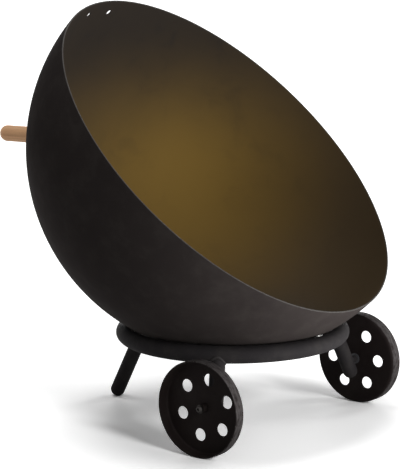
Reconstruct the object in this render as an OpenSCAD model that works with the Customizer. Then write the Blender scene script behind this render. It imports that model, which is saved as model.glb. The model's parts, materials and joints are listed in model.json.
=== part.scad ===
// Hemispherical fire bowl resting in a tube ring with one rear leg and two disc wheels.
// +Z is up, -Y is the open front, +Y is the back with the handle. Millimetres.
// The origin lies on the ground, under the middle of the whole outline.

/* [Bowl] */
// Outer diameter of the bowl
bowl_d = 600; // [580:1:620]
// Thickness of the bowl's steel
bowl_wall = 2; // [1.5:0.5:3]
// Depth of the bowl, from the rim's plane to the outside of its bottom
bowl_depth = 296.5; // [290:0.5:300]
// Tilt of the mouth from level
bowl_tilt = 45; // [0:1:50]
// Turn of the bowl in its ring, seen from above
bowl_turn = 8; // [-30:1:30]
// Diameter of the two holes under the top of the rim
rim_hole_d = 8; // [5:0.5:10]
// Distance between the two rim holes
rim_hole_gap = 55; // [30:1:80]
// Distance of the rim holes below the rim's plane
rim_hole_drop = 23.5; // [18:0.5:45]

/* [Ring] */
// Radius of the ring's centreline
ring_r = 160; // [150:1:170]
// Diameter of the ring's tube
ring_tube_d = 25; // [24:0.5:28]
// Wall of the ring's tube and of the leg tubes
tube_wall = 2; // [1.5:0.5:3]
// Height of the ring's centreline
ring_z = 133.5; // [130:0.5:140]
// Gap between ring and bowl, which the glide pads fill
bowl_lift = 1; // [0.8:0.1:2]
// Diameter of the glide pads
pad_d = 12; // [8:0.5:14]

/* [Legs] */
// Diameter of the leg tubes
leg_d = 22; // [20:0.5:24]
// Splay of the rear leg from upright
back_leg_splay = 27.6; // [15:0.2:35]
// Splay of the two wheel legs from upright
wheel_leg_splay = 22.4; // [18:0.2:24]
// Height of the round lower end's centre on a wheel leg
wheel_leg_low_z = 53.5; // [48:0.5:56]
// How much the dome of the rear foot is flattened where it stands
foot_flat = 0.7; // [0.5:0.1:1.5]

/* [Wheels] */
// Diameter of a wheel
wheel_d = 138; // [126:1:144]
// Width of a wheel
wheel_w = 19; // [18:0.5:24]
// Thickness of the wheel's pressed sheet
wheel_sheet = 2; // [1.5:0.5:3]
// Outside radius of the bend between the disc and the tread
wheel_bend_r = 5; // [4:0.5:8]
// Distance between the middles of the two wheels
track = 389; // [386:1:400]
// Diameter of the holes in a wheel
wheel_hole_d = 18; // [12:0.5:22]
// Radius of the circle of holes in a wheel
wheel_hole_r = 41; // [32:0.5:46]
// Number of holes in a wheel
wheel_holes = 6; // [4:1:8]
// Angle at which the left wheel stands
left_phase = 41.2; // [0:0.1:60]
// Angle at which the right wheel stands
right_phase = 58.5; // [0:0.1:60]

/* [Axles] */
// Diameter of the boss on a wheel leg
boss_d = 10; // [9:0.5:14]
// Diameter of the hub tube in a wheel
hub_d = 12; // [12:0.5:16]
// Length of the hub tube
hub_len = 11.5; // [10:0.5:16]
// Diameter of the sleeve that the wheel turns on
sleeve_d = 8; // [7:0.5:8]
// Radial running clearance between bush and sleeve
running_fit = 0.04; // [0.02:0.01:0.08]
// Play at each end of the hub
hub_play = 0.3; // [0.2:0.1:0.5]
// Thickness of the axle washers
washer_t = 1.2; // [0.8:0.2:2]
// Diameter of the washer between leg and wheel
inner_washer_d = 16; // [14:1:20]
// Diameter of the axle bolts' heads
head_d = 10.5; // [10:0.5:12]
// Height of the axle bolts' heads
head_h = 3.3; // [3:0.1:4]
// Diameter of the axle bolts' threads
bolt_d = 6; // [5:1:6]

/* [Handle] */
// Diameter of the wooden grip
grip_d = 25; // [22:0.5:30]
// Distance of the grip's tip from the bowl's centre
grip_tip = 411; // [380:1:450]
// Angle between the bowl's own axis and the handle
handle_polar = 45; // [35:0.5:55]
// Diameter of the collar between grip and bowl
collar_d = 32; // [28:1:40]
// Distance of the collar's outer face from the bowl's centre
collar_end = 309; // [306:1:315]
// Diameter of the handle bolt's thread
handle_bolt_d = 8; // [6:1:8]

/* [Hidden] */
$fn = 96;

steel_black = [0.11, 0.11, 0.115];
steel_bare = [0.72, 0.72, 0.74];
steel_zinc = [0.62, 0.63, 0.66];
beech = [0.72, 0.53, 0.37];
bronze = [0.62, 0.47, 0.26];
nylon = [0.16, 0.16, 0.17];

// Radii and heights that follow from the sizes above
bowl_r = bowl_d / 2;
inner_r = bowl_r - bowl_wall;
rim_drop = bowl_r - bowl_depth;
ring_tube_r = ring_tube_d / 2;
leg_r = leg_d / 2;
bore_r = leg_r - tube_wall;
wheel_r = wheel_d / 2;
grip_r = grip_d / 2;
slack = 0.05;
pad_clearance = 0.3;
hole_slack = 0.2;

// Height of the bowl's centre when it rests on the pads, and the slope of the lines
// from there to the ring's centreline
bowl_reach = bowl_r + bowl_lift + ring_tube_r;
bowl_centre_z = ring_z + sqrt(bowl_reach * bowl_reach - ring_r * ring_r);
pad_slope = asin(ring_r / bowl_reach);
pad_angles = [-90, 30, 150];

// Rise of the handle and of the rim holes, as seen from the bowl's centre
handle_rise = handle_polar + bowl_tilt - 90;
rim_hole_rise = bowl_tilt - asin((rim_drop + rim_hole_drop) / bowl_r);

// The direction of the mouth, and how far the bowl reaches in a direction at the
// angle to it that has the given cosine
mouth = [sin(bowl_tilt) * sin(bowl_turn), -sin(bowl_tilt) * cos(bowl_turn), cos(bowl_tilt)];
rim_r = sqrt(bowl_r * bowl_r - rim_drop * rim_drop);
function reach(cosine) = bowl_r * cosine <= -rim_drop ? bowl_r
    : rim_r * sqrt(1 - cosine * cosine) - rim_drop * cosine;

// The shift that puts the origin under the middle of the outline
back_y = (grip_tip - grip_r) * cos(handle_rise) * cos(bowl_turn) + grip_r;
shift_x = (reach(-mouth[0]) - reach(mouth[0])) / 2;
shift_y = (reach(-mouth[1]) - back_y) / 2;

// Rear leg: from the ring's centreline to the middle of its domed foot
foot_z = leg_r - foot_flat;
back_top = [0, ring_r, ring_z];
back_foot = [0, ring_r + (ring_z - foot_z) * tan(back_leg_splay), foot_z];

// Wheel legs: straight and radial, a third of a turn from the rear leg
leg_turn = -30;
function wheel_leg_at(z) = [
    (ring_r + (ring_z - z) * tan(wheel_leg_splay)) * cos(leg_turn),
    (ring_r + (ring_z - z) * tan(wheel_leg_splay)) * sin(leg_turn),
    z];
wheel_leg_top = wheel_leg_at(ring_z);
wheel_leg_low = wheel_leg_at(wheel_leg_low_z);
axle_leg_x = wheel_leg_at(wheel_r)[0];
axle_y = -wheel_leg_at(wheel_r)[1];

// Along the axle, measured outwards from the inner face of the wheel's disc
boss_sunk = 4;
axle_thread = 14;
disc_x = track / 2 - wheel_w / 2;
boss_face = -hub_play - washer_t;
sleeve_end = hub_len + hub_play;
head_face = sleeve_end + washer_t;
boss_root = axle_leg_x - disc_x - boss_sunk;
axle_bolt_root = boss_face - axle_thread;

// Hardware that isn't adjusted
cap_spigot = 8;
spigot_d = 5;
spigot_len = 9;
handle_washer_d = 20;
handle_washer_t = 2;
handle_head_d = 14;
handle_head_h = 4.4;
handle_insert_d = 12;
handle_insert_len = 26;
handle_bolt_end = 330;
socket_d = 4.6;
handle_socket_d = 5.8;
bush_wall = 1;

// Shares of a button head's size: its straight edge and its socket of the height, its
// flat top of the diameter
head_edge = 0.45;
socket_depth = 0.6;
head_top = 0.66;

// How far cutting bodies stand past the faces they cut, and how far to either side of
// the bowl's skin its holes are cut
over = 1;
skin_cut = 20;

// Puts the origin under the outline's middle
module placed() {
    translate([shift_x, shift_y, 0])
        children();
}

// Mirrors what is drawn for the right side when the side is -1
module on_side(side) {
    mirror([side < 0 ? 1 : 0, 0, 0])
        children();
}

// Turns +Z along the line from one point to another, starting at the first
module along(from, to) {
    d = to - from;
    translate(from)
        rotate([0, acos(d[2] / norm(d)), atan2(d[1], d[0])])
            children();
}

// Turns +Z from the bowl's centre outwards in the bowl's middle plane, at a rise above level
module from_centre(rise) {
    translate([0, 0, bowl_centre_z])
        rotate([rise - 90, 0, bowl_turn])
            children();
}

// Turns +Z from the bowl's centre towards the ring at one angle
module towards_ring(angle) {
    translate([0, 0, bowl_centre_z])
        rotate([0, 180 - pad_slope, angle])
            children();
}

// Turns +Z along the right axle, starting at the inner face of the wheel's disc
module on_axle() {
    translate([disc_x, -axle_y, wheel_r])
        rotate([0, 90, 0])
            children();
}

// A tube or disc with a hole right through
module washer(outer_d, hole_d, t) {
    difference() {
        cylinder(d = outer_d, h = t);
        translate([0, 0, -over])
            cylinder(d = hole_d, h = t + 2 * over);
    }
}

// The solid outline of the ring's tube
module ring_solid(r) {
    translate([0, 0, ring_z])
        rotate_extrude()
            translate([ring_r, 0])
                circle(r = r);
}

// A button head with a hexagon socket and its shank, with the head's seat at zero
module button_bolt(d, shank, head_dia, head_height, socket) {
    difference() {
        union() {
            translate([0, 0, -head_height * head_edge])
                cylinder(d = head_dia, h = head_height * head_edge);
            translate([0, 0, -head_height])
                cylinder(d1 = head_dia * head_top, d2 = head_dia,
                    h = head_height * (1 - head_edge), $fn = 64);
            cylinder(d = d, h = shank);
        }
        translate([0, 0, -head_height - over])
            cylinder(d = socket, h = over + head_height * socket_depth, $fn = 6);
    }
}

// A domed plug for a leg tube's end: +Z points out of the tube, zero is the dome's centre
module domed_cap() {
    difference() {
        sphere(r = leg_r);
        translate([0, 0, -leg_d])
            cylinder(r = leg_d, h = leg_d);
    }
    translate([0, 0, -cap_spigot])
        cylinder(r = bore_r - slack, h = cap_spigot);
}

// A straight leg tube between two points
module leg_tube(from, to) {
    along(from, to)
        washer(leg_d, 2 * bore_r, norm(to - from));
}

// Cuts a round hole through the bowl's skin, at a rise above level and beside the middle plane
module skin_hole(rise, beside, d) {
    from_centre(rise)
        translate([beside, 0, bowl_r - skin_cut])
            cylinder(d = d, h = 2 * skin_cut);
}

module bowl() {
    color(steel_black)
        placed()
            difference() {
                translate([0, 0, bowl_centre_z])
                    rotate([bowl_tilt, 0, bowl_turn])
                        rotate_extrude($fn = 180)
                            intersection() {
                                difference() {
                                    circle(r = bowl_r);
                                    circle(r = inner_r);
                                }
                                translate([0, -bowl_r - over])
                                    square([bowl_r + over, bowl_depth + over]);
                            }
                for (side = [-1, 1])
                    skin_hole(rim_hole_rise, side * rim_hole_gap / 2, rim_hole_d);
                skin_hole(handle_rise, 0, handle_bolt_d + 3 * hole_slack);
            }
}

module stand_ring() {
    color(steel_black)
        placed()
            difference() {
                translate([0, 0, ring_z])
                    rotate_extrude($fn = 180)
                        translate([ring_r, 0])
                            difference() {
                                circle(r = ring_tube_r);
                                circle(r = ring_tube_r - tube_wall);
                            }
                for (angle = pad_angles)
                    towards_ring(angle)
                        translate([0, 0, bowl_r - over])
                            cylinder(d = spigot_d + 2 * slack, h = bowl_reach - bowl_r);
            }
}

module back_leg() {
    color(steel_black)
        placed()
            difference() {
                leg_tube(back_top, back_foot);
                ring_solid(ring_tube_r);
            }
}

module wheel_leg(side) {
    color(steel_black)
        placed()
            on_side(side)
                difference() {
                    leg_tube(wheel_leg_top, wheel_leg_low);
                    ring_solid(ring_tube_r);
                    on_axle()
                        translate([0, 0, boss_root])
                            cylinder(d = boss_d + 2 * slack, h = boss_face - boss_root);
                }
}

module left_leg() {
    wheel_leg(-1);
}

module right_leg() {
    wheel_leg(1);
}

module back_foot_cap() {
    color(steel_black)
        placed()
            difference() {
                along(back_foot, 2 * back_foot - back_top)
                    domed_cap();
                translate([0, back_foot[1], -leg_d])
                    cylinder(r = leg_d, h = leg_d);
            }
}

module wheel_leg_cap(side) {
    color(steel_black)
        placed()
            on_side(side)
                along(wheel_leg_low, 2 * wheel_leg_low - wheel_leg_top)
                    domed_cap();
}

module left_leg_cap() {
    wheel_leg_cap(-1);
}

module right_leg_cap() {
    wheel_leg_cap(1);
}

// Pads between ring and bowl: their undersides follow the ring's tube, their tops the bowl
module glide_pads() {
    color(steel_bare)
        placed()
            for (angle = pad_angles) {
                difference() {
                    towards_ring(angle)
                        translate([0, 0, bowl_r - over])
                            cylinder(d = pad_d, h = pad_d / 2);
                    translate([0, 0, bowl_centre_z])
                        sphere(r = bowl_r + pad_clearance, $fn = 180);
                    ring_solid(ring_tube_r);
                }
                towards_ring(angle)
                    translate([0, 0, bowl_r + bowl_lift / 2])
                        cylinder(d = spigot_d, h = spigot_len);
            }
}

module axle_boss(side) {
    color(steel_black)
        placed()
            on_side(side)
                on_axle()
                    translate([0, 0, boss_root])
                        washer(boss_d, bolt_d + 2 * slack, boss_face - boss_root);
}

module left_axle_boss() {
    axle_boss(-1);
}

module right_axle_boss() {
    axle_boss(1);
}

module axle_sleeve(side) {
    color(steel_zinc)
        placed()
            on_side(side)
                on_axle()
                    translate([0, 0, boss_face])
                        washer(sleeve_d, bolt_d + 2 * slack, sleeve_end - boss_face);
}

module left_axle_sleeve() {
    axle_sleeve(-1);
}

module right_axle_sleeve() {
    axle_sleeve(1);
}

module axle_bolt(side) {
    color(steel_zinc)
        placed()
            on_side(side)
                on_axle()
                    translate([0, 0, head_face])
                        mirror([0, 0, 1])
                            button_bolt(bolt_d, head_face - axle_bolt_root, head_d, head_h, socket_d);
}

module left_axle_bolt() {
    axle_bolt(-1);
}

module right_axle_bolt() {
    axle_bolt(1);
}

module inner_washer(side) {
    color(nylon)
        placed()
            on_side(side)
                on_axle()
                    translate([0, 0, boss_face])
                        washer(inner_washer_d, sleeve_d + hole_slack, washer_t);
}

module left_inner_washer() {
    inner_washer(-1);
}

module right_inner_washer() {
    inner_washer(1);
}

module outer_washer(side) {
    color(steel_zinc)
        placed()
            on_side(side)
                on_axle()
                    translate([0, 0, sleeve_end])
                        washer(hub_d, bolt_d + 2 * hole_slack, washer_t);
}

module left_outer_washer() {
    outer_washer(-1);
}

module right_outer_washer() {
    outer_washer(1);
}

// Half section of a dish with a rounded corner, from the axis out to r
module dish_section(r, bend, floor_u, rim_u) {
    centre_u = wheel_bend_r;
    translate([0, floor_u])
        square([r - bend, rim_u - floor_u]);
    translate([0, centre_u])
        square([r, rim_u - centre_u]);
    translate([r - bend, centre_u])
        circle(r = bend);
}

module wheel(side, phase) {
    color(steel_black)
        placed()
            on_side(side)
                on_axle()
                    difference() {
                        rotate_extrude($fn = 144)
                            difference() {
                                dish_section(wheel_r, wheel_bend_r, 0, wheel_w);
                                dish_section(wheel_r - wheel_sheet, wheel_bend_r - wheel_sheet,
                                    wheel_sheet, wheel_w + over);
                            }
                        translate([0, 0, -over])
                            cylinder(d = hub_d + 2 * slack, h = wheel_sheet + 2 * over);
                        for (i = [0 : wheel_holes - 1])
                            rotate([0, 0, phase + 90 + i * 360 / wheel_holes])
                                translate([wheel_hole_r, 0, -over])
                                    cylinder(d = wheel_hole_d, h = wheel_sheet + 2 * over);
                    }
}

module left_wheel() {
    wheel(-1, left_phase);
}

module right_wheel() {
    wheel(1, right_phase);
}

module hub(side) {
    color(steel_black)
        placed()
            on_side(side)
                on_axle()
                    washer(hub_d, sleeve_d + 2 * bush_wall, hub_len);
}

module left_hub() {
    hub(-1);
}

module right_hub() {
    hub(1);
}

module bush(side) {
    color(bronze)
        placed()
            on_side(side)
                on_axle()
                    washer(sleeve_d + 2 * bush_wall - 2 * slack, sleeve_d + 2 * running_fit, hub_len);
}

module left_bush() {
    bush(-1);
}

module right_bush() {
    bush(1);
}

module handle_grip() {
    color(beech)
        placed()
            from_centre(handle_rise)
                difference() {
                    union() {
                        translate([0, 0, collar_end])
                            cylinder(d = grip_d, h = grip_tip - grip_r - collar_end);
                        translate([0, 0, grip_tip - grip_r])
                            sphere(d = grip_d);
                    }
                    translate([0, 0, collar_end - over])
                        cylinder(d = handle_insert_d + 2 * slack, h = handle_insert_len + over);
                }
}

module handle_collar() {
    color(steel_black)
        placed()
            difference() {
                from_centre(handle_rise)
                    translate([0, 0, bowl_r - over])
                        washer(collar_d, handle_bolt_d + 2 * hole_slack, collar_end - bowl_r + over);
                translate([0, 0, bowl_centre_z])
                    sphere(r = bowl_r, $fn = 180);
            }
}

// Distance from the bowl's centre at which a flat washer seats in the bowl
function seat(d) = sqrt(inner_r * inner_r - d * d / 4) - slack;

module handle_bolt() {
    color(steel_bare)
        placed()
            from_centre(handle_rise)
                translate([0, 0, seat(handle_washer_d) - handle_washer_t])
                    button_bolt(handle_bolt_d, handle_bolt_end - seat(handle_washer_d) + handle_washer_t,
                        handle_head_d, handle_head_h, handle_socket_d);
}

module handle_washer() {
    color(steel_bare)
        placed()
            from_centre(handle_rise)
                translate([0, 0, seat(handle_washer_d) - handle_washer_t])
                    washer(handle_washer_d, handle_bolt_d + 2 * hole_slack, handle_washer_t);
}

module handle_insert() {
    color(steel_zinc)
        placed()
            from_centre(handle_rise)
                translate([0, 0, collar_end])
                    washer(handle_insert_d, handle_bolt_d + 2 * slack, handle_insert_len);
}

bowl();
handle_grip();
handle_collar();
handle_bolt();
handle_washer();
handle_insert();
stand_ring();
back_leg();
left_leg();
right_leg();
back_foot_cap();
left_leg_cap();
right_leg_cap();
glide_pads();
left_axle_boss();
right_axle_boss();
left_axle_sleeve();
right_axle_sleeve();
left_axle_bolt();
right_axle_bolt();
left_inner_washer();
right_inner_washer();
left_outer_washer();
right_outer_washer();
left_wheel();
right_wheel();
left_hub();
right_hub();
left_bush();
right_bush();
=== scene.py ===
import json
import math

import bmesh
import bpy
import numpy as np
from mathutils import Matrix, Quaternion, Vector


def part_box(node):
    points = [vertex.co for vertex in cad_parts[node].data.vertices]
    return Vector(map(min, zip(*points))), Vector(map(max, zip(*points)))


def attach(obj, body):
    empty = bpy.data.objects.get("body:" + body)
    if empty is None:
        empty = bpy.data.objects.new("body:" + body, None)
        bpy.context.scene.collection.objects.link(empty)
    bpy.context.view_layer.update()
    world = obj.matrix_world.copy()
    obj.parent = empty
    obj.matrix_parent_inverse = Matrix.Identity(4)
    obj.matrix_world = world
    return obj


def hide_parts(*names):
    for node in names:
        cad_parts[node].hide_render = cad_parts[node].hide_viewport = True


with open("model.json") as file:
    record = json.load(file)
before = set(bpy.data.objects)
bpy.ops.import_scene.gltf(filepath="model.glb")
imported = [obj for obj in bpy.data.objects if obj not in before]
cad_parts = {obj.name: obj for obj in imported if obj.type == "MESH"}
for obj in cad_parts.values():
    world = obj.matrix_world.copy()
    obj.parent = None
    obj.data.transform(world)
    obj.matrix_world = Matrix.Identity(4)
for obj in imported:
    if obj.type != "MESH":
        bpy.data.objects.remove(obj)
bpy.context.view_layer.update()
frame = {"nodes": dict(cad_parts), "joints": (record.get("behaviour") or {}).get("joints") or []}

bl_info = {
    "name": "Fire Bowl",
    "version": (1, 0, 0),
    "blender": (4, 5, 0),
    "location": "3D View > Sidebar > Fire Bowl",
    "description": "Dresses the fire bowl's frame with its steel, paint, welds and wood",
    "category": "Add Mesh",
}

JOINTS = {joint["name"]: joint for joint in frame["joints"]}
BOWL_CENTRE = np.array(JOINTS["bowl_tilt"]["pos_m"])
BOWL_TURN = math.atan2(JOINTS["bowl_tilt"]["axis"][1], JOINTS["bowl_tilt"]["axis"][0])
SIDES = {"left": -1, "right": 1}


def box_of(node):
    """Lowest and highest corner of a frame node, as two arrays."""
    low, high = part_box(node)
    return np.array(low), np.array(high)


RING_LOW, RING_HIGH = box_of("stand_ring")
RING_CENTRE = (RING_LOW + RING_HIGH) / 2
TUBE_R = (RING_HIGH[2] - RING_LOW[2]) / 2
RING_R = (RING_HIGH[0] - RING_LOW[0]) / 2 - TUBE_R
PAD_HEIGHT = 0.001
LEG_TURNS = {"back": 90, "left": 210, "right": -30}


# ---- sizes and colours that a user may change

def length(name, text, default):
    """A length property in metres."""
    return bpy.props.FloatProperty(
        name=name, description=text, default=default, min=0, unit="LENGTH", precision=4)


def angle(name, text, degrees):
    """An angle property, given in degrees."""
    return bpy.props.FloatProperty(
        name=name, description=text, default=math.radians(degrees), subtype="ANGLE")


def colour(name, text, default):
    """A colour property in linear light."""
    return bpy.props.FloatVectorProperty(
        name=name, description=text, default=default, size=3, min=0, max=1,
        subtype="COLOR")


class FireBowlShellSettings(bpy.types.PropertyGroup):
    diameter: length("Diameter", "Outer diameter of the bowl", 0.600)
    sheet: length("Sheet", "Thickness of the bowl's steel", 0.002)
    rim_drop: length("Rim drop", "How far the rim lies below the sphere's middle", 0.0035)
    tilt: angle("Tilt", "Tilt of the mouth from level", 45.0)
    edge: length("Edge", "Rounding of the rim and of the hole edges", 0.0006)
    hole: length("Hole", "Diameter of the holes under the top of the rim", 0.008)
    hole_gap: length("Hole gap", "Distance between the two holes", 0.055)
    hole_drop: length("Hole drop", "Distance of the holes below the rim's plane", 0.0235)
    outside: colour("Outside", "Matt black outside", (0.0208, 0.0172, 0.0164))
    inside: colour("Inside", "Sooty brown near the rim", (0.0510, 0.0350, 0.0185))
    # Painted firelight: the warm glow inside is painted into the colour.
    painted_glow: colour("Browned", "Heat-browned above the fire", (0.157, 0.095, 0.0205))
    # Soot in patches, and painted shade that darkens the top of the inside.
    soot_and_shade: colour("Soot", "Soot settled high up inside", (0.0120, 0.0108, 0.0105))
    rim: colour("Rim", "Rubbed steel on the cut edge", (0.034, 0.031, 0.028))


class FireBowlStandSettings(bpy.types.PropertyGroup):
    leg: length("Leg", "Diameter of the leg tubes", 0.022)
    weld: length("Weld", "Radius of the weld beads on the legs", 0.0020)
    boss_weld: length("Boss weld", "Radius of the weld beads on the axle bosses", 0.0011)
    paint: colour("Paint", "Black powder coat of the stand", (0.0153, 0.0138, 0.0146))


class FireBowlWheelSettings(bpy.types.PropertyGroup):
    diameter: length("Diameter", "Outer diameter of a wheel", 0.138)
    width: length("Width", "Width of a wheel", 0.019)
    sheet: length("Sheet", "Thickness of the pressed steel", 0.002)
    bend: length("Bend", "Outer radius between disc and tread", 0.005)
    edge: length("Edge", "Rounding of the pressed edges", 0.00045)
    bore: length("Bore", "Diameter of the hole for the hub tube", 0.0121)
    hole: length("Hole", "Diameter of the holes in the disc", 0.018)
    hole_circle: length("Hole circle", "Radius of the circle of holes", 0.041)
    holes: bpy.props.IntProperty(
        name="Holes", description="Number of holes in the disc", default=6, min=3, max=8)
    left_angle: angle("Left angle", "Angle at which the left wheel stands", 41.2)
    right_angle: angle("Right angle", "Angle at which the right wheel stands", 58.5)
    paint: colour("Paint", "Black powder coat of the wheels", (0.0086, 0.0060, 0.0056))
    # Lighter tread: scuffed paint, partly painted light where the lamps catch the tread.
    scuffed_and_lit: colour("Scuffed", "Paint scuffed dull on the tread", (0.074, 0.068, 0.068))


class FireBowlHandleSettings(bpy.types.PropertyGroup):
    diameter: length("Diameter", "Diameter of the grip", 0.025)
    start: length("Start", "Grip's flat end, from the bowl's centre", 0.309)
    tip: length("Tip", "Grip's tip, from the bowl's centre", 0.411)
    light: colour("Light wood", "Early wood of the beech", (0.85, 0.486, 0.252))
    dark: colour("Dark wood", "Late wood and flecks of the beech", (0.50, 0.245, 0.114))


class FireBowlHardwareSettings(bpy.types.PropertyGroup):
    stainless: colour("Stainless", "Plain stainless steel", (0.60, 0.59, 0.57))
    zinc: colour("Zinc", "Bright zinc plating", (0.52, 0.54, 0.56))
    blackened: colour("Blackened", "Blackened steel", (0.036, 0.033, 0.031))
    bronze: colour("Bronze", "Sintered bronze", (0.42, 0.27, 0.11))
    nylon: colour("Nylon", "Dark nylon", (0.035, 0.035, 0.038))


class FireBowlStageSettings(bpy.types.PropertyGroup):
    azimuth: angle("Azimuth", "Direction the camera looks from", -51.713)
    elevation: angle("Elevation", "Height of the camera above level", 10.051)
    roll: angle("Roll", "Turn of the camera about its own axis", -0.308)
    distance: length("Distance", "Distance from the camera to its aim", 3.124)
    lens: bpy.props.FloatProperty(
        name="Lens", description="Focal length of the camera", default=165.3,
        unit="CAMERA")
    lamps: bpy.props.FloatProperty(
        name="Lamps", description="Share of white that a level white sheet gets",
        default=0.76)
    fill: bpy.props.FloatProperty(
        name="Fill", description="Strength of the light from all round", default=0.24)
    card: bpy.props.FloatProperty(
        name="Card", description="Power of the card on the floor in front", default=22.0,
        unit="POWER")
    floor: colour("Floor", "Pale floor", (0.45, 0.45, 0.45))
    backdrop: bpy.props.FloatProperty(
        name="Backdrop", description="How far the camera sees the floor lifted to white",
        default=3.29)


# Name, direction, height and width in degrees, and share of the light.
LAMPS = (
    ("front_key", -106, 26, 16, 0.30),
    ("right_soft", -60, 10, 60, 0.06),
    ("top_soft", 88, 79, 26, 0.46),
    ("right_back", -20, 33, 18, 0.10),
    ("back_low", 40, 12, 18, 0.08),
)
CAMERA_AIM = (-0.0586, 0.0143, 0.284)  # across from the ring's middle, and height
CARD_SIDE = 0.9
CARD_PLACE = (0.13, -0.90, 0.012)
FLOOR_HALF = 14.0

# The painted glow of firelight on the right, seen from the bowl's centre along X, Y and Z.
PAINTED_GLOW_WAY = (0.576, 0.765, -0.289)

DUST = (0.075, 0.068, 0.060)
SEAT_RUB = (0.055, 0.052, 0.050)
ASH = (0.034, 0.030, 0.025)
ASH_FLECKS = (0.085, 0.077, 0.067)
BARE_LIP = (0.10, 0.095, 0.09)
# Colour of the painted shade on the two rear glide pads.
PAD_PAINTED_SHADE = (0.020, 0.018, 0.017)

SETTINGS = {
    "fire_bowl_shell": FireBowlShellSettings,
    "fire_bowl_stand": FireBowlStandSettings,
    "fire_bowl_wheel": FireBowlWheelSettings,
    "fire_bowl_handle": FireBowlHandleSettings,
    "fire_bowl_hardware": FireBowlHardwareSettings,
    "fire_bowl_stage": FireBowlStageSettings,
}


# ---- surfaces

def quads(rows, columns, closed):
    """Corner numbers of the faces between the rows and columns of a grid of points."""
    last = columns if closed else columns - 1
    row, column = np.meshgrid(np.arange(rows - 1), np.arange(last), indexing="ij")
    beside = (column + 1) % columns
    return np.stack([row * columns + column, row * columns + beside,
                     (row + 1) * columns + beside, (row + 1) * columns + column],
                    axis=-1).reshape(-1, 4)


def piece(name, grids, body, materials, outward=None, pick=None):
    """A mesh object from several grids of points that meet at their edges.

    Each grid is (points[rows, columns, 3], closed). Points that coincide become one, and
    outward(middles, normals) says which faces point the right way as a positive number.
    pick(middles) gives each face's material.
    """
    points, faces, start = [], [], 0
    for grid, closed in grids:
        rows, columns = grid.shape[:2]
        points.append(grid.reshape(-1, 3))
        faces.append(quads(rows, columns, closed) + start)
        start += rows * columns
    mesh = bpy.data.meshes.new(name)
    mesh.from_pydata(np.concatenate(points).tolist(), [], np.concatenate(faces).tolist())
    work = bmesh.new()
    work.from_mesh(mesh)
    bmesh.ops.remove_doubles(work, verts=work.verts, dist=2e-6)
    bmesh.ops.dissolve_degenerate(work, edges=work.edges, dist=1e-7)
    bmesh.ops.recalc_face_normals(work, faces=work.faces)
    work.to_mesh(mesh)
    work.free()
    middles = np.empty(len(mesh.polygons) * 3)
    normals = np.empty(len(mesh.polygons) * 3)
    mesh.polygons.foreach_get("center", middles)
    mesh.polygons.foreach_get("normal", normals)
    middles, normals = middles.reshape(-1, 3), normals.reshape(-1, 3)
    if outward is not None and np.sum(outward(middles, normals)) < 0:
        mesh.flip_normals()
    mesh.polygons.foreach_set("use_smooth", np.ones(len(mesh.polygons), bool))
    for material in materials:
        mesh.materials.append(material)
    if pick is not None:
        mesh.polygons.foreach_set("material_index", pick(middles).astype(np.int32))
    mesh.update()
    made = bpy.data.objects.new(name, mesh)
    bpy.context.scene.collection.objects.link(made)
    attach(made, body)
    return made


def unit(vectors):
    """The same vectors at length 1."""
    return vectors / np.linalg.norm(vectors, axis=-1, keepdims=True)


def about_z(angle):
    """The X, Y and Z axes turned about Z by this angle."""
    return np.array([[math.cos(angle), math.sin(angle), 0],
                     [-math.sin(angle), math.cos(angle), 0], [0, 0, 1]])


def polar(radius, angle):
    """Flat points at these distances and angles round the origin."""
    return np.stack([radius * np.cos(angle), radius * np.sin(angle)], axis=-1)


def rounded(corners, radii, steps=4):
    """A profile through corners[n, 2] with each corner rounded to its radius.

    The arc touches both lines and has a point just before and after it on each line, so
    that the flat parts stay flat when the surface is shaded smooth.
    """
    guard = 0.00025
    corners = np.asarray(corners, float)
    out = [corners[0]]
    for before, corner, after, radius in zip(corners, corners[1:], corners[2:], radii):
        along_in, along_out = unit(before - corner), unit(after - corner)
        half = math.acos(np.clip(along_in @ along_out, -1, 1)) / 2
        reach = radius / math.tan(half)
        middle = corner + unit(along_in + along_out) * radius / math.sin(half)
        first, last = corner + along_in * reach, corner + along_out * reach
        start = math.atan2(*(first - middle)[::-1])
        sweep = math.atan2(*(last - middle)[::-1]) - start
        sweep = (sweep + math.pi) % (2 * math.pi) - math.pi
        arc = middle + polar(radius, start + sweep * np.linspace(0, 1, steps + 1))
        out += [first + along_in * guard, *arc, last + along_out * guard]
    out.append(corners[-1])
    return np.array(out)


def turned(profile, angles):
    """Points of a profile of (radius, height) carried round the Z axis at the angles."""
    radius, height = profile[:, :1], profile[:, 1:]
    return np.stack([radius * np.cos(angles), radius * np.sin(angles),
                     height + 0 * angles], axis=-1)


def placed(points, axes, origin):
    """Local points written in the frame whose three axes and origin are given."""
    return points @ np.asarray(axes) + np.asarray(origin)


def bowl_axes(tilt):
    """The bowl's own axes: Z leaves the mouth, Y points to the top of the rim."""
    lean = np.array([[1, 0, 0], [0, math.cos(tilt), math.sin(tilt)],
                     [0, -math.sin(tilt), math.cos(tilt)]])
    return lean @ about_z(BOWL_TURN)


def opened(x, y, radius, fade_from, fade_to):
    """Moves points near a slit so that it opens into a round hole.

    The slit lies on y = 0 from x = -2 radius to 2 radius. With z = x + iy, the point goes
    to (z + root(z z - 4 radius radius)) / 2, which turns the slit into a circle, and this
    move fades out with distance so that the rest of the sheet stays as it is.
    """
    z = x + 1j * y
    root = np.sqrt(z - 2 * radius + 0j) * np.sqrt(z + 2 * radius + 0j)
    move = (z + root) / 2 - z
    far = np.clip((np.abs(z) - fade_from) / (fade_to - fade_from), 0, 1)
    move = move * (1 - far * far * (3 - 2 * far))
    return x + move.real, y + move.imag


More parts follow.
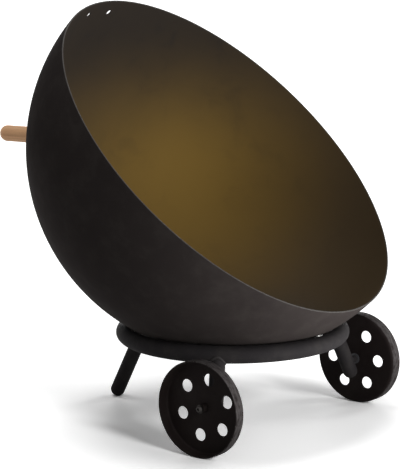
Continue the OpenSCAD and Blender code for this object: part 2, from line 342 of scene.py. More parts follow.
def shell_grids(size):
    """The bowl's two skins, its rounded rim and the walls of its two rim holes.

    A point is set by its distance from the centre, its angle up from the bottom and its
    angle round the axis. Rows and columns crowd round the holes, where a doubled row is a
    slit that opened() turns into a hole. The rim's profile is a half-rounded cut edge.
    """
    outer = size.diameter / 2
    inner = outer - size.sheet
    rim_up = math.pi / 2 - math.asin(size.rim_drop / outer)
    hole_up = math.pi / 2 - math.asin((size.rim_drop + size.hole_drop) / outer)
    round_r = outer * math.sin(hole_up)
    hole_turn = math.asin(size.hole_gap / 2 / round_r)
    open_r = size.hole / 2 + size.edge
    fade_from, fade_to = 0.011, 0.0175
    near = 2 * open_r * np.cos(np.linspace(math.pi, 0, 21)) / round_r
    side = 2 * open_r / round_r + np.cumsum(np.geomspace(0.0035, 0.022, 6))
    half = np.concatenate([-side[:2][::-1], near, side[:2]])
    middle = np.linspace(-hole_turn + half[-1], hole_turn + half[0], 5)[1:-1]
    rest = np.linspace(hole_turn + half[-1], 2 * math.pi - hole_turn + half[0], 236)[1:-1]
    turn = np.concatenate([half - hole_turn, middle, half + hole_turn, rest])

    def spot(distance, up, around):
        return np.stack([distance * np.sin(up) * np.sin(around),
                         distance * np.sin(up) * np.cos(around),
                         -distance * np.cos(up) + 0 * around], axis=-1)

    # Rows whose steps in metres grow away from the holes.
    fine = np.cumsum(np.geomspace(0.0006, 0.0048, 8)) / outer
    below = np.concatenate([hole_up - fine[::-1], [hole_up]])
    above = np.concatenate([[hole_up], hole_up + fine[:7]])
    up_low = np.concatenate([np.linspace(0, below[0], 60)[:-1], below])
    rim_rows = rim_up - size.edge / outer
    up_high = np.concatenate([above, np.linspace(above[-1], rim_rows, 5)[1:]])

    def skin(distance, up, shift):
        turns, ups = np.meshgrid(turn, up)
        for centre in (-hole_turn, hole_turn):
            y = (ups - hole_up) * outer
            y = np.where(y == 0, shift * 1e-9, y)
            x, y = opened((turns - centre) * round_r, y, open_r, fade_from, fade_to)
            turns = centre + x / round_r
            ups = hole_up + y / outer
        return spot(distance, ups, turns)

    grids = [(skin(distance, up, shift), True)
             for distance in (outer, inner)
             for up, shift in ((up_low, -1), (up_high, 1))]
    level = -size.rim_drop
    swing = np.linspace(0, math.pi / 2, 5)
    edge = size.edge
    outer_r = math.sqrt(outer ** 2 - level ** 2)
    inner_r = math.sqrt(inner ** 2 - level ** 2)
    out_arc = polar(edge, swing) + [outer_r - edge, level - edge]
    in_arc = polar(edge, math.pi - swing[::-1]) + [inner_r + edge, level - edge]
    rim = np.concatenate([[polar(outer, rim_rows - math.pi / 2)], out_arc[1:],
                          in_arc[:-1], [polar(inner, rim_rows - math.pi / 2)]])
    grids.append((turned(rim, math.pi / 2 - turn), True))
    circle = np.arccos(np.clip(near * round_r / (2 * open_r), -1, 1))
    circle = np.concatenate([circle, -circle[::-1][1:-1]])
    corner = np.linspace(0, math.pi / 2, 4)[1:]
    depth = np.concatenate([[outer], outer - edge * (1 - np.cos(corner)),
                            inner + edge * (1 - np.cos(corner[::-1])), [inner]])
    width = np.concatenate([[open_r], open_r - edge * np.sin(corner),
                            open_r - edge * np.sin(corner[::-1]), [open_r]])
    for centre in (-hole_turn, hole_turn):
        x = width[:, None] * np.cos(circle)
        y = width[:, None] * np.sin(circle)
        wall = spot(depth[:, None], hole_up + y / outer, centre + x / round_r)
        grids.append((wall, True))
    return grids


def wheel_grids(size, phase):
    """One pressed wheel about Z, from its inner face at zero outwards.

    Round each hole a grid runs from the sector's outline to the hole's edge, through the
    rounded hole wall and back on the other face: a point is a straight blend between the
    outline's point and the circle's point in the same direction. The bend, tread and rim
    edge are one profile carried round the axis.
    """
    outer = size.diameter / 2
    flat_r = outer - size.bend - 0.0015
    core_r = size.bore / 2 + 0.0012
    lip_r = size.edge * 1.6
    sheet, edge = size.sheet, size.edge
    step = 2 * math.pi / size.holes
    arc, line, small = 24, 22, 8
    wide = np.linspace(-step / 2, step / 2, arc + 1)
    climb = np.linspace(flat_r, core_r, line + 1)
    tight = np.linspace(step / 2, -step / 2, small + 1)
    outline = np.concatenate([
        polar(flat_r, wide)[:-1], polar(climb, step / 2)[:-1],
        polar(core_r, tight)[:-1], polar(climb[::-1], -step / 2)[:-1]])
    centre = np.array([size.hole_circle, 0.0])
    away = unit(outline - centre)
    hole_r = size.hole / 2
    corner = np.linspace(0, math.pi / 2, 4)
    share = np.array([0, 0.3, 0.55, 0.75, 0.88, 0.96])
    wall_r = np.concatenate([hole_r + edge * (1 - np.sin(corner)),
                             hole_r + edge * (1 - np.sin(corner[::-1]))])
    wall_z = np.concatenate([sheet - edge * (1 - np.cos(corner)),
                             edge * (1 - np.cos(corner[::-1]))])
    ring = centre + away * wall_r[:, None, None]
    front = outline + (ring[0] - outline) * share[:, None, None]
    flat = np.concatenate([front, ring, front[::-1]])
    height = np.concatenate([np.full(len(share), sheet), wall_z, np.zeros(len(share))])
    sector = np.concatenate([flat, np.broadcast_to(
        height[:, None, None], flat.shape[:2] + (1,))], axis=-1)
    grids = []
    for number in range(size.holes):
        grids.append((sector @ about_z(phase + number * step), True))
    bore = size.bore / 2
    middle = np.array([[core_r, sheet], [bore, sheet], [bore, 0], [core_r, 0]])
    tight_all = phase - step / 2 + np.arange(small * size.holes) * step / small
    grids.append((turned(middle, tight_all), True))
    under = outer - sheet
    tread = rounded([[flat_r, 0], [outer, 0], [outer, size.width],
                     [under, size.width], [under, sheet], [flat_r, sheet]],
                    [size.bend, lip_r, lip_r, size.bend - sheet], steps=7)
    wide_all = phase - step / 2 + np.arange(arc * size.holes) * step / arc
    grids.append((turned(tread, wide_all), True))
    return grids


def bead(path, out, radius, ripples):
    """A weld bead along a closed path: a round profile whose radius rises and falls.

    path[n, 3] is its middle line and out[n, 3] the direction away from both parts. The
    radius is the bead's times 1 plus a rippled wave that leans forwards, as the frozen
    pools of a weld overlap, and the profile is flattened to the crown's share.
    """
    crown = 0.75
    along = unit(np.roll(path, -1, 0) - np.roll(path, 1, 0))
    out = unit(out - np.sum(out * along, 1)[:, None] * along)
    across = np.cross(along, out)
    turn = np.linspace(0, 2 * math.pi, 15)[:-1]
    share = np.arange(len(path)) / len(path)
    wave = (share * ripples) % 1.0
    size = radius * (1 + 0.13 * np.sin(math.pi * wave ** 0.7)
                     + 0.05 * np.sin(share * 2 * math.pi * 3 + 1.0))
    return (path[:, None] + size[:, None, None] * (
        np.cos(turn)[None, :, None] * across[:, None]
        + crown * np.sin(turn)[None, :, None] * out[:, None]), True)


def meeting(origin, way, radius, distance, stop, count):
    """Where a round bar meets another part, and the bar's outward directions there.

    For each angle round the bar, which points this way, the place along it where
    distance(points) is zero is found by halving the stretch up to the stop.
    """
    first = unit(np.cross(way, [0.0, 1.0, 0.3]))
    second = np.cross(way, first)
    turn = np.linspace(0, 2 * math.pi, count + 1)[:-1][:, None]
    out = np.cos(turn) * first + np.sin(turn) * second
    low, high = np.zeros(count), np.full(count, stop)
    for _ in range(40):
        half = (low + high) / 2
        inside = distance(origin + half[:, None] * way + radius * out) < 0
        low, high = np.where(inside, half, low), np.where(inside, high, half)
    return origin + half[:, None] * way + radius * out, out


def ring_distance(points):
    """Distance of points from the skin of the stand's ring, negative inside it."""
    across = np.hypot(points[:, 0] - RING_CENTRE[0], points[:, 1] - RING_CENTRE[1])
    return np.hypot(across - RING_R, points[:, 2] - RING_CENTRE[2]) - TUBE_R


def leg_line(name, leg_r):
    """Start on the ring's centreline and direction of a leg, read from its frame node."""
    low, high = box_of(name + "_leg")
    turn = math.radians(LEG_TURNS[name])
    flat = np.array([math.cos(turn), math.sin(turn), 0])
    top = RING_CENTRE + RING_R * flat
    axis = 1 if name == "back" else 0
    reach = max(abs(low - RING_CENTRE)[axis], abs(high - RING_CENTRE)[axis])
    tilt = solve_tilt(reach / abs(flat[axis]) - RING_R, top[2] - low[2], leg_r)
    return top, math.sin(tilt) * flat + np.array([0, 0, -math.cos(tilt)])


def solve_tilt(run, drop, leg_r):
    """Splay of a leg whose square-cut end reaches run outwards and drop downwards."""
    low, high = 0.0, 1.2
    for _ in range(50):
        tilt = (low + high) / 2
        end = (drop - leg_r * math.sin(tilt)) / math.cos(tilt)
        if end * math.sin(tilt) + leg_r * math.cos(tilt) < run:
            low = tilt
        else:
            high = tilt
    return tilt


# ---- materials

def named(sockets, key):
    """The first of the sockets with this name or identifier."""
    return next(s for s in sockets if key in (s.identifier, s.name))


def feed(tree, socket, value):
    """Links a wire to a node's socket, or sets the socket to a plain value."""
    if isinstance(value, Wire):
        tree.links.new(value.socket, socket)
    elif hasattr(value, "__len__"):
        size = len(socket.default_value)
        socket.default_value = (tuple(value) + (1.0,))[:size]
    else:
        socket.default_value = value


class Wire:
    """A socket of a material's tree; sums, products and powers of it add Math nodes."""

    def __init__(self, tree, socket):
        self.tree, self.socket = tree, socket

    def math(self, operation, *values):
        node = self.tree.nodes.new("ShaderNodeMath")
        node.operation = operation
        for socket, value in zip(node.inputs, values):
            feed(self.tree, socket, value)
        return Wire(self.tree, node.outputs[0])

    def __add__(self, other):
        return self.math("ADD", self, other)

    __radd__ = __add__

    def __sub__(self, other):
        return self.math("SUBTRACT", self, other)

    def __rsub__(self, other):
        return self.math("SUBTRACT", other, self)

    def __mul__(self, other):
        return self.math("MULTIPLY", self, other)

    __rmul__ = __mul__

    def __pow__(self, other):
        return self.math("POWER", self, other)


class Finish:
    """The nodes of a new material or world, of the few kinds that are used here."""

    def __init__(self, name, kind="materials"):
        self.holder = getattr(bpy.data, kind).new(name)
        self.holder.use_nodes = True
        self.tree = self.holder.node_tree
        self.tree.nodes.clear()

    def node(self, kind, settings=None, values=None, out=""):
        """Adds a node of this kind, sets it up, feeds its sockets and returns an output.

        That is the first output, or the one that out names, or a list of all for None.
        """
        node = self.tree.nodes.new(kind)
        for key, value in (settings or {}).items():
            setattr(node, key, value)
        for key, value in (values or {}).items():
            feed(self.tree, named(node.inputs, key), value)
        if out is None:
            return [Wire(self.tree, socket) for socket in node.outputs]
        return Wire(self.tree, named(node.outputs, out) if out else node.outputs[0])

    def place(self, centre=(0, 0, 0), turn=(0, 0, 0)):
        """Object coordinates as seen from a centre with its own turned axes."""
        where = self.node("ShaderNodeTexCoord", out="Object")
        return self.node("ShaderNodeMapping", {"vector_type": "TEXTURE"},
                         {"Vector": where, "Location": tuple(centre), "Rotation": turn})

    def in_bowl(self, tilt=0.0):
        """Coordinates from the bowl's centre, turned with it and tilted this far."""
        return self.place(BOWL_CENTRE, (tilt, 0.0, BOWL_TURN))

    def parts(self, vector):
        """X, Y and Z of a vector as three wires."""
        return self.node("ShaderNodeSeparateXYZ", None, {"Vector": vector}, out=None)

    def noise(self, vector, scale, detail=2.0, roughness=0.5, distortion=0.0):
        """Soft random clouds with this many features a metre."""
        return self.node("ShaderNodeTexNoise", None, {
            "Vector": vector, "Scale": scale, "Detail": detail,
            "Roughness": roughness, "Distortion": distortion})

    def streaks(self, vector, scale, detail=3.0, roughness=0.65):
        """Clouds with their own number of features a metre along each axis."""
        drawn = self.node("ShaderNodeMapping", {"vector_type": "POINT"},
                          {"Vector": vector, "Scale": scale})
        return self.noise(drawn, 1.0, detail, roughness)

    def spun(self, height):
        """Faint rings round the bowl's axis, from the spinning."""
        return self.noise(self.node("ShaderNodeCombineXYZ", None, {"X": height}),
                          190.0, 3.0, 0.6)

    def cells(self, vector, scale):
        """Distance to the nearest of scattered points."""
        return self.node("ShaderNodeTexVoronoi", {"feature": "F1"},
                         {"Vector": vector, "Scale": scale}, out="Distance")

    def step(self, value, low, high):
        """Smooth passage from 0 to 1 as the value goes from low to high."""
        return self.node("ShaderNodeMapRange", {"interpolation_type": "SMOOTHSTEP"}, {
            "Value": value, "From Min": low, "From Max": high})

    def mix(self, share, first, second):
        """Two colours blended by a share."""
        return self.node("ShaderNodeMix", {"data_type": "RGBA"}, {
            "Factor_Float": share, "A_Color": first, "B_Color": second},
            out="Result_Color")

    def far(self, *values):
        """Root of the sum of squares."""
        total = values[0] * values[0]
        for value in values[1:]:
            total = total + value * value
        return total ** 0.5

    def done(self, base, rough, level, height, depth, metallic=0.0):
        """Ends the material in one surface shader, with a bump.

        The level is the specular one, and a height of 1 stands for the depth in metres.
        """
        relief = self.node("ShaderNodeBump", None, {"Height": height, "Distance": depth})
        surface = self.node("ShaderNodeBsdfPrincipled", None, {
            "Base Color": base, "Roughness": rough, "Specular IOR Level": level,
            "Normal": relief, "Metallic": metallic})
        self.node("ShaderNodeOutputMaterial", None, {"Surface": surface}, out=None)
        return self.holder


def lighter(shade, factor):
    """A colour multiplied by a number and kept below white."""
    return tuple(min(0.95, part * factor) for part in shade)


def paint_base(finish, where, shade, dust_share=0.25):
    """Colour, roughness and relief of matt black paint: clouds, fine grain and dust."""
    clouds = finish.noise(where, 11.0, 4.0, 0.55)
    grain = finish.noise(where, 1500.0, 2.0, 0.6)
    specks = finish.step(finish.noise(where, 620.0, 3.0, 0.7), 0.60, 0.74)
    film = finish.step(finish.noise(where, 34.0, 5.0, 0.65), 0.42, 0.72)
    base = finish.mix(clouds, lighter(shade, 0.82), lighter(shade, 1.22))
    base = finish.mix((specks * 0.6 + film * 0.4) * dust_share, base, DUST)
    rough = 0.50 + clouds * 0.10 + specks * 0.10 + grain * 0.04
    return base, rough, grain


def bowl_outside_finish(size):
    """Heat-proof black on a spun shell: grain, faint spinning rings and a rubbed band.

    The band lies where the shell rests in the ring, and the upper part is duller.
    """
    finish = Finish("bowl_outside_black")
    where = finish.in_bowl(size.tilt)
    base, rough, grain = paint_base(finish, where, size.outside)
    rings = finish.spun(finish.parts(where)[2])
    scratch = finish.streaks(where, (60, 900, 60), 3.0, 0.6)
    scratch = finish.step(scratch, 0.66, 0.74)
    level = finish.parts(finish.in_bowl())[2]
    seat = math.sqrt(1 - (RING_R / (size.diameter / 2 + TUBE_R + PAD_HEIGHT)) ** 2)
    rest_at = -seat * size.diameter / 2
    band = finish.step(level, rest_at + 0.034, rest_at + 0.004) \
        * finish.step(level, rest_at - 0.020, rest_at - 0.002)
    base = finish.mix(band * scratch * 0.8, base, SEAT_RUB)
    dull = finish.step(level, -0.06, 0.10)
    height = grain * 0.75 + rings * 0.6 + scratch * band * -0.5
    rough = rough + 0.24 - band * 0.06 + dull * 0.3
    return finish.done(base, rough, 0.02, height, 0.00004)


def bowl_inside_finish(size, glow):
    """Soot-darkened steel with a painted glow of firelight on both sides of the fire, painted
    shade towards the top, and a little ash.

    The painted glow fades with distance from its middle and from its mirror image across
    the bowl's middle plane.
    """
    finish = Finish("bowl_inside_browned")
    where = finish.in_bowl(size.tilt)
    x, y, z = finish.parts(where)
    beside = finish.far(x, 0.05)
    spread = finish.far(beside - glow[0], y - glow[1], z - glow[2])
    clouds = finish.noise(where, 7.0, 5.0, 0.6, 0.4)
    patches = finish.noise(where, 26.0, 4.0, 0.6, 0.8)
    grain = finish.noise(where, 1300.0, 2.0, 0.6)
    reach = spread + (clouds - 0.5) * 0.030 + (patches - 0.5) * 0.012
    # Painted firelight glow, mixed in by distance from its middle.
    tone = finish.step(reach, 0.295, 0.0)
    base = finish.mix(tone, size.inside, size.painted_glow)
    level = finish.parts(finish.in_bowl())[2]
    soot_and_shade = finish.step(patches * 0.55 + clouds * 0.45, 0.50, 0.66)
    # Painted shade: the inside turns darker towards the top.
    top_shade = finish.step(level + (clouds - 0.5) * 0.04, -0.07, 0.17)
    base = finish.mix(soot_and_shade * 0.09 + top_shade * 0.82, base, size.soot_and_shade)
    bottom = size.sheet - size.diameter / 2
    bed = finish.step(level + (clouds - 0.5) * 0.03, bottom + 0.070, bottom + 0.008)
    flecks = finish.step(finish.noise(where, 240.0, 4.0, 0.75), 0.50, 0.66)
    base = finish.mix(bed * 0.6, base, ASH)
    base = finish.mix(bed * flecks * 0.40, base, ASH_FLECKS)
    height = grain * 0.6 + finish.spun(z) * 0.5 + bed * flecks * 1.5
    rough = 0.70 + clouds * 0.10 + bed * 0.15 - tone * 0.05
    return finish.done(base, rough, 0.06, height, 0.00005)


def bowl_rim_finish(size):
    """The cut edge of the shell: black paint rubbed through to dull steel in places."""
    finish = Finish("bowl_rim_rubbed")
    where = finish.in_bowl(size.tilt)
    wear = finish.noise(where, 45.0, 5.0, 0.7)
    fine = finish.noise(where, 900.0, 2.0, 0.6)
    bare = finish.step(wear * 0.8 + fine * 0.2, 0.36, 0.52)
    base = finish.mix(bare, lighter(size.outside, 1.6), size.rim)
    rough = 0.55 - bare * 0.14 + fine * 0.06
    return finish.done(base, rough, 0.10, fine, 0.00003, bare * 0.15)


def stand_finish(size):
    """Matt powder coat: fine peel, soft clouds and a little dust."""
    finish = Finish("stand_black_coat")
    where = finish.place()
    base, rough, grain = paint_base(finish, where, size.paint, 0.35)
    peel = finish.noise(where, 520.0, 1.0, 0.5)
    return finish.done(base, rough + 0.14, 0.05, grain * 0.5 + peel, 0.00006)


def weld_finish(size):
    """The same coat over a weld, with darker pits between the ripples."""
    finish = Finish("weld_black_coat")
    where = finish.place()
    base, rough, grain = paint_base(finish, where, size.paint, 0.5)
    pits = finish.cells(where, 700.0)
    return finish.done(base, rough + 0.06, 0.12, grain * 0.5 + pits, 0.00012)


def wheel_finish(size, side):
    """Powder coat with scuffed tread and rim edge and dust in the dish; the tread's lighter
    colour is partly painted light.
    """
    finish = Finish(side + "_wheel_black_coat")
    where = finish.place(JOINTS[side + "_wheel_spin"]["pos_m"])
    base, rough, grain = paint_base(finish, where, size.paint, 0.16)
    x, y, z = finish.parts(where)
    radius = finish.far(y, z)
    scuff = finish.streaks(where, (300, 90, 90), 5.0, 0.7)
    # Lighter tread: scuffed paint, partly painted light where the lamps catch the tread.
    tread = finish.step(radius, size.diameter / 2 - 0.0012, size.diameter / 2 - 0.0003)
    worn = tread * finish.step(scuff, 0.34, 0.62)
    base = finish.mix(worn * 0.75, base, size.scuffed_and_lit)
    lip = finish.step(x * SIDES[side], size.width / 2 - 0.0012, size.width / 2 - 0.0004)
    chips = finish.step(finish.noise(where, 210.0, 4.0, 0.75), 0.56, 0.66)
    base = finish.mix(lip * chips * 0.6, base, BARE_LIP)
    height = grain * 0.6 + finish.noise(where, 520.0, 1.0, 0.5) - worn * scuff * 1.5
    return finish.done(base, rough + worn * 0.14 + 0.12, 0.06, height, 0.00006)


def metal_finish(name, shade, rough, lines):
    """Plain metal: fine brushed lines, clouds of tarnish and small pits."""
    finish = Finish(name)
    where = finish.place()
    brushed = finish.streaks(where, lines)
    clouds = finish.noise(where, 130.0, 4.0, 0.6)
    pits = finish.step(finish.noise(where, 1900.0, 2.0, 0.6), 0.64, 0.76)
    base = finish.mix(clouds, lighter(shade, 0.78), lighter(shade, 1.10))
    base = finish.mix(pits * 0.35, base, lighter(shade, 0.4))
    return finish.done(base, rough + brushed * 0.14 + clouds * 0.08, 0.5,
                       brushed * 0.8 + pits * -0.8, 0.000012, 1.0)


def pad_finish(shade):
    """Stainless glide pads: rubbed dull at the front, darkened by painted shade at the back."""
    finish = Finish("stainless_rubbed")
    where = finish.place(RING_CENTRE)
    brushed = finish.streaks(where, (150, 2500, 2500))
    clouds = finish.noise(where, 130.0, 4.0, 0.6)
    # Painted shade: the two rear pads turn dark and less metallic.
    soot_and_shade = finish.step(finish.parts(where)[1] + (clouds - 0.5) * 0.02, -RING_R * 0.7, 0.0)
    base = finish.mix(clouds, lighter(shade, 0.38), lighter(shade, 0.56))
    base = finish.mix(soot_and_shade * 0.96, base, PAD_PAINTED_SHADE)
    return finish.done(base, 0.36 + brushed * 0.14 + soot_and_shade * 0.40, 0.06,
                       brushed * 0.8 + clouds * 0.4, 0.00002, 1 - soot_and_shade * 0.95)


def nylon_finish(shade):
    """Dark moulded plastic with a fine matt grain."""
    finish = Finish("nylon_dark")
    where = finish.place()
    grain = finish.noise(where, 2400.0, 2.0, 0.5)
    clouds = finish.noise(where, 160.0, 3.0, 0.5)
    base = finish.mix(clouds, lighter(shade, 0.8), lighter(shade, 1.25))
    return finish.done(base, 0.46 + grain * 0.12, 0.5, grain, 0.00003)


def beech_finish(size):
    """Oiled beech turned along its grain: pale rings, late wood and short flecks."""
    finish = Finish("beech_oiled")
    where = finish.in_bowl()
    x, y, z = finish.parts(where)
    warp = finish.streaks(where, (60, 9, 60), 3.0, 0.5)
    depth = finish.far(x + 0.061, z - 0.034) + (warp - 0.5) * 0.0035
    year = finish.node("ShaderNodeTexWave", {
        "wave_type": "BANDS", "bands_direction": "X", "wave_profile": "SAW"}, {
        "Vector": finish.node("ShaderNodeCombineXYZ", None, {"X": depth}),
        "Scale": 62.0, "Distortion": 0.0}, out="Fac")
    late = finish.step(year, 0.45, 0.98)
    fibre = finish.streaks(where, (1500, 45, 1500), 4.0)
    fleck = finish.streaks(where, (900, 230, 2600), 2.0, 0.5)
    fleck = finish.step(fleck, 0.63, 0.72)
    clouds = finish.streaks(where, (45, 12, 45), 3.0, 0.5)
    base = finish.mix(late * 0.38 + (fibre - 0.5) * 0.50 + (clouds - 0.5) * 0.35 + 0.14,
                      size.light, size.dark)
    base = finish.mix(fleck * 0.55, base, lighter(size.dark, 0.62))
    ends = finish.step(y, size.start + 0.010, size.start - 0.001)
    hand = finish.step(finish.noise(where, 30.0, 4.0, 0.6), 0.52, 0.75)
    base = finish.mix(ends * 0.35 + hand * 0.12, base, lighter(size.dark, 0.5))
    tool = finish.node("ShaderNodeTexWave", {
        "wave_type": "BANDS", "bands_direction": "Y", "wave_profile": "SIN"}, {
        "Vector": where, "Scale": 110.0, "Distortion": 0.6, "Detail": 2.0}, out="Fac")
    height = fibre * 0.8 - fleck * 0.9 + tool * 0.35
    rough = 0.44 + fibre * 0.12 + late * 0.05 + fleck * 0.08
    return finish.done(base, rough, 0.35, height, 0.00005)


def both(*parts):
    """Names of the left and the right one of these parts."""
    return [side + "_" + part for part in parts for side in SIDES]


def cover(nodes, material):
    """Gives frame nodes a finish in place of their plain one."""
    for name in nodes:
        for place in frame["nodes"][name].material_slots:
            place.material = material


def painted_glow_spot(size):
    """Middle of the painted firelight glow on the right, in the bowl's own axes."""
    reach = (size.diameter / 2 - size.sheet) / np.linalg.norm(PAINTED_GLOW_WAY)
    return (bowl_axes(size.tilt) @ PAINTED_GLOW_WAY * reach).tolist()


# ---- operators

class FIREBOWL_OT_shell(bpy.types.Operator):
    """Builds the spun bowl with its rounded rim and its two rim holes"""

    bl_idname = "firebowl.shell"
    bl_label = "Bowl shell"

    def execute(self, context):
        size = context.scene.fire_bowl_shell
        axes = bowl_axes(size.tilt)
        grids = [(placed(points, axes, BOWL_CENTRE), closed)
                 for points, closed in shell_grids(size)]
        outer = size.diameter / 2

        def pick(middles):
            from_centre = middles - BOWL_CENTRE
            height = from_centre @ axes[2]
            distance = np.linalg.norm(from_centre, axis=1)
            inside = distance < outer - size.sheet * 0.75
            rim = height > -size.rim_drop - size.edge * 0.9
            between = (distance < outer - size.sheet * 0.18) & ~inside
            return np.where(rim | between, 2, np.where(inside, 1, 0))

        def outward(middles, normals):
            away = middles - BOWL_CENTRE
            side = np.where(np.linalg.norm(away, axis=1) > outer - size.sheet / 2, 1, -1)
            return side * np.sum(away * normals, axis=1)

        skins = [bowl_outside_finish(size), bowl_inside_finish(size, painted_glow_spot(size)),
                 bowl_rim_finish(size)]
        shell = piece("bowl_shell", grids, "bowl", skins, outward, pick)
        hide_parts("bowl")
        return {"FINISHED"}


class FIREBOWL_OT_stand(bpy.types.Operator):
    """Coats the ring, legs, plugs and axle bosses"""

    bl_idname = "firebowl.stand"
    bl_label = "Stand coat"

    def execute(self, context):
        cover(["stand_ring", "back_leg", "back_foot_cap", "handle_collar"]
              + both("leg", "leg_cap", "axle_boss"),
              stand_finish(context.scene.fire_bowl_stand))
        return {"FINISHED"}


class FIREBOWL_OT_welds(bpy.types.Operator):
    """Lays the weld beads between ring, legs and axle bosses"""

    bl_idname = "firebowl.welds"
    bl_label = "Welds"

    def execute(self, context):
        size = context.scene.fire_bowl_stand
        coat = weld_finish(size)
        leg_r = size.leg / 2
        for name in LEG_TURNS:
            top, down = leg_line(name, leg_r)
            path, out = meeting(top, down, leg_r, ring_distance, 0.05, 150)
            piece(name + "_leg_weld", [bead(path, out + unit(path - top), size.weld, 24)],
                  "stand", [coat])
            if name not in SIDES:
                continue
            low, high = box_of(name + "_axle_boss")
            middle, boss_r = (low + high) / 2, (high[2] - low[2]) / 2
            axle = np.array([float(SIDES[name]), 0.0, 0.0])

            def leg_distance(points, top=top, down=down):
                reach = points - top
                off = reach - (reach @ down)[:, None] * down
                return np.linalg.norm(off, axis=1) - leg_r

            start = top + down * ((middle - top) @ down)
            origin = np.array([start[0], middle[1], middle[2]])
            path, out = meeting(origin, axle, boss_r, leg_distance, 0.03, 90)
            piece(name + "_boss_weld", [bead(path, out + axle, size.boss_weld, 15)],
                  "stand", [coat])
        return {"FINISHED"}


class FIREBOWL_OT_wheels(bpy.types.Operator):
    """Presses the two dished wheels and coats their hub tubes"""

    bl_idname = "firebowl.wheels"
    bl_label = "Wheels"

    def execute(self, context):
        size = context.scene.fire_bowl_wheel
        for side, sign in SIDES.items():
            middle = np.array(JOINTS[side + "_wheel_spin"]["pos_m"])
            origin = middle - np.array([sign * size.width / 2, 0, 0])
            axes = [[0, 1, 0], [0, 0, 1], [sign, 0, 0]]
            grids = [(placed(points, axes, origin), closed) for points, closed
                     in wheel_grids(size, getattr(size, side + "_angle"))]

            def outward(middles, normals, middle=middle):
                away = middles - middle
                away[:, 0] = 0
                far = np.linalg.norm(away, axis=1)
                return np.where(far > size.diameter / 2 - 0.0003,
                                np.sum(away * normals, axis=1), 0)

            coat = wheel_finish(size, side)
            dish = piece(side + "_wheel_dish", grids, side + "_wheel",
                         [coat], outward)
            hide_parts(side + "_wheel")
            cover([side + "_hub"], coat)
        return {"FINISHED"}


class FIREBOWL_OT_grip(bpy.types.Operator):
    """Turns the wooden grip with its rounded tip"""

    bl_idname = "firebowl.grip"
    bl_label = "Grip"

    def execute(self, context):
        size = context.scene.fire_bowl_handle
        radius = size.diameter / 2
        side = rounded([[0, size.start], [radius, size.start],
                        [radius, size.tip - radius]], [0.0009])
        body = np.linspace(side[-2], side[-1], 14)[1:-1]
        dome = polar(radius, np.linspace(0, math.pi / 2, 19)) + [0, size.tip - radius]
        profile = np.concatenate([side[:-1], body, dome])
        points = turned(profile, np.linspace(0, 2 * math.pi, 73)[:-1])
        axes = np.roll(bowl_axes(0.0), 1, 0)
        grip = piece("handle_peg", [(placed(points, axes, BOWL_CENTRE), True)], "bowl",
                     [beech_finish(size)])
        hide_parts("handle_grip")
        return {"FINISHED"}


class FIREBOWL_OT_hardware(bpy.types.Operator):
    """Finishes the bolts, washers, bushes, sleeves, inserts and glide pads"""

    bl_idname = "firebowl.hardware"
    bl_label = "Hardware"

    def execute(self, context):
        tone = context.scene.fire_bowl_hardware
        cover(["glide_pads"], pad_finish(tone.stainless))
        cover(["handle_bolt", "handle_washer"],
              metal_finish("stainless_plain", tone.stainless, 0.22, (150, 2500, 2500)))
        cover(both("axle_sleeve") + ["handle_insert"],
              metal_finish("zinc_bright", tone.zinc, 0.26, (2500, 300, 300)))
        cover(both("axle_bolt", "outer_washer"),
              metal_finish("steel_blackened", tone.blackened, 0.30, (300, 2200, 2200)))
        cover(both("bush"),
              metal_finish("bronze_sintered", tone.bronze, 0.38, (900, 900, 900)))
        cover(both("inner_washer"), nylon_finish(tone.nylon))
        return {"FINISHED"}


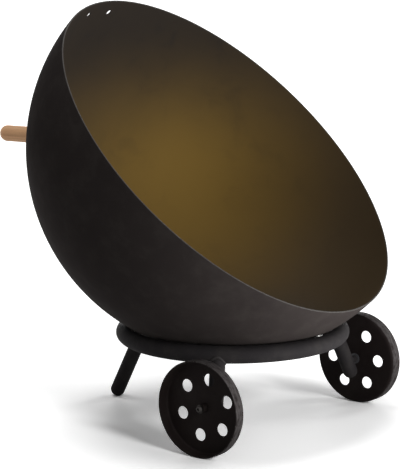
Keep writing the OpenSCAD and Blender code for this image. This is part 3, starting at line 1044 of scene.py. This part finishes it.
class FIREBOWL_OT_stage(bpy.types.Operator):
    """Sets up the floor, the light and the camera"""

    bl_idname = "firebowl.stage"
    bl_label = "Stage"

    def execute(self, context):
        size = context.scene.fire_bowl_stage
        self.camera(context, size)
        self.floor(context, size)
        self.world(context, size)
        for lamp in LAMPS:
            self.lamp(size, *lamp)
        self.card(size)
        context.scene.view_settings.view_transform = "Standard"
        return {"FINISHED"}

    def camera(self, context, size):
        """A camera with a long lens and a slight roll."""
        back = toward(size.azimuth - math.pi / 2, size.elevation)
        aim = Vector((*RING_CENTRE[:2], 0.0)) + Vector(CAMERA_AIM)
        camera = hang(bpy.data.cameras.new("camera"), aim + back * size.distance, back)
        camera.rotation_quaternion @= Quaternion((0.0, 0.0, 1.0), size.roll)
        camera.data.lens, camera.data.sensor_width = size.lens, 36.0
        camera.data.clip_start, camera.data.clip_end = 0.1, 60.0
        context.scene.camera = camera

    def floor(self, context, size):
        """A level floor that keeps the shadows and is seen as white elsewhere."""
        finish = Finish("floor_pale")
        where = finish.place()
        soft = finish.noise(where, 2.5, 3.0, 0.5)
        base = finish.mix(soft, lighter(size.floor, 0.985), size.floor)
        lifted = tuple(part * size.backdrop for part in size.floor)
        base = finish.mix(seen(finish), base, lifted)
        diffuse = finish.node("ShaderNodeBsdfDiffuse", None, {"Color": base})
        finish.node("ShaderNodeOutputMaterial", None, {"Surface": diffuse}, out=None)
        count = 15
        across = np.linspace(-FLOOR_HALF, FLOOR_HALF, count)
        x, y = np.meshgrid(across, across)
        mesh = bpy.data.meshes.new("floor")
        mesh.from_pydata(np.stack([x, y, 0 * x], -1).reshape(-1, 3).tolist(), [],
                         quads(count, count, False).tolist())
        mesh.materials.append(finish.holder)
        made = bpy.data.objects.new("floor", mesh)
        context.scene.collection.objects.link(made)

    def world(self, context, size):
        """Even light from all round, which camera and reflections see as white."""
        finish = Finish("studio", "worlds")
        share = seen(finish)
        strength = share + (1 - share) * size.fill
        light = finish.node("ShaderNodeBackground", None, {
            "Color": (1.0, 1.0, 1.0), "Strength": strength})
        finish.node("ShaderNodeOutputWorld", None, {"Surface": light}, out=None)
        context.scene.world = finish.holder

    def lamp(self, size, name, turn, height, width, share):
        """A wide distant lamp: a level white sheet gets its share of the light."""
        light = bpy.data.lights.new(name, "SUN")
        light.angle = math.radians(width)
        light.energy = size.lamps * share * math.pi / math.sin(math.radians(height))
        back = toward(math.radians(turn), math.radians(height))
        hang(light, back * 3, back)

    def card(self, size):
        """A square card on the floor in front that faces up and lights the underside."""
        light = bpy.data.lights.new("low_card", "AREA")
        light.size, light.energy = CARD_SIDE, size.card
        hang(light, CARD_PLACE, Vector((0.0, 0.0, -1.0))).visible_camera = False


def toward(turn, height):
    """Unit vector at this angle round from X and this height above level."""
    return Vector((math.cos(turn) * math.cos(height), math.sin(turn) * math.cos(height),
                   math.sin(height)))


def hang(data, place, back):
    """A camera or lamp at this place, which points away from back."""
    made = bpy.data.objects.new(data.name, data)
    made.location = place
    made.rotation_mode = "QUATERNION"
    made.rotation_quaternion = (-back).to_track_quat("-Z", "Y")
    bpy.context.scene.collection.objects.link(made)
    return made


def seen(finish):
    """1 for what the camera, a reflection or a refraction sees, otherwise 0."""
    ways = [finish.node("ShaderNodeLightPath", None, None, out=name)
            for name in ("Is Camera Ray", "Is Glossy Ray", "Is Transmission Ray")]
    total = ways[0] + ways[1] + ways[2]
    return total.math("MINIMUM", total, 1.0)


OPERATORS = (FIREBOWL_OT_shell, FIREBOWL_OT_stand, FIREBOWL_OT_welds, FIREBOWL_OT_wheels,
             FIREBOWL_OT_grip, FIREBOWL_OT_hardware, FIREBOWL_OT_stage)


class FIREBOWL_PT_panel(bpy.types.Panel):
    """Lists the steps that dress the fire bowl"""

    bl_idname = "FIREBOWL_PT_panel"
    bl_label = "Fire Bowl"
    bl_space_type = "VIEW_3D"
    bl_region_type = "UI"
    bl_category = "Fire Bowl"

    def draw(self, context):
        for operator in OPERATORS:
            self.layout.operator(operator.bl_idname)
        for name, group in SETTINGS.items():
            box = self.layout.box()
            for key in group.__annotations__:
                box.prop(getattr(context.scene, name), key)


def register():
    """Registers the settings, operators and panel."""
    for name, group in SETTINGS.items():
        bpy.utils.register_class(group)
        setattr(bpy.types.Scene, name, bpy.props.PointerProperty(type=group))
    for thing in (*OPERATORS, FIREBOWL_PT_panel):
        bpy.utils.register_class(thing)


def unregister():
    """Takes the panel, operators and settings away again."""
    for thing in (FIREBOWL_PT_panel, *OPERATORS[::-1]):
        bpy.utils.unregister_class(thing)
    for name, group in SETTINGS.items():
        delattr(bpy.types.Scene, name)
        bpy.utils.unregister_class(group)


def main():
    """Runs each step in order."""
    register()
    for step in ("shell", "stand", "welds", "wheels", "grip", "hardware", "stage"):
        getattr(bpy.ops.firebowl, step)()
    bpy.context.view_layer.update()


if __name__ == "__main__":
    main()
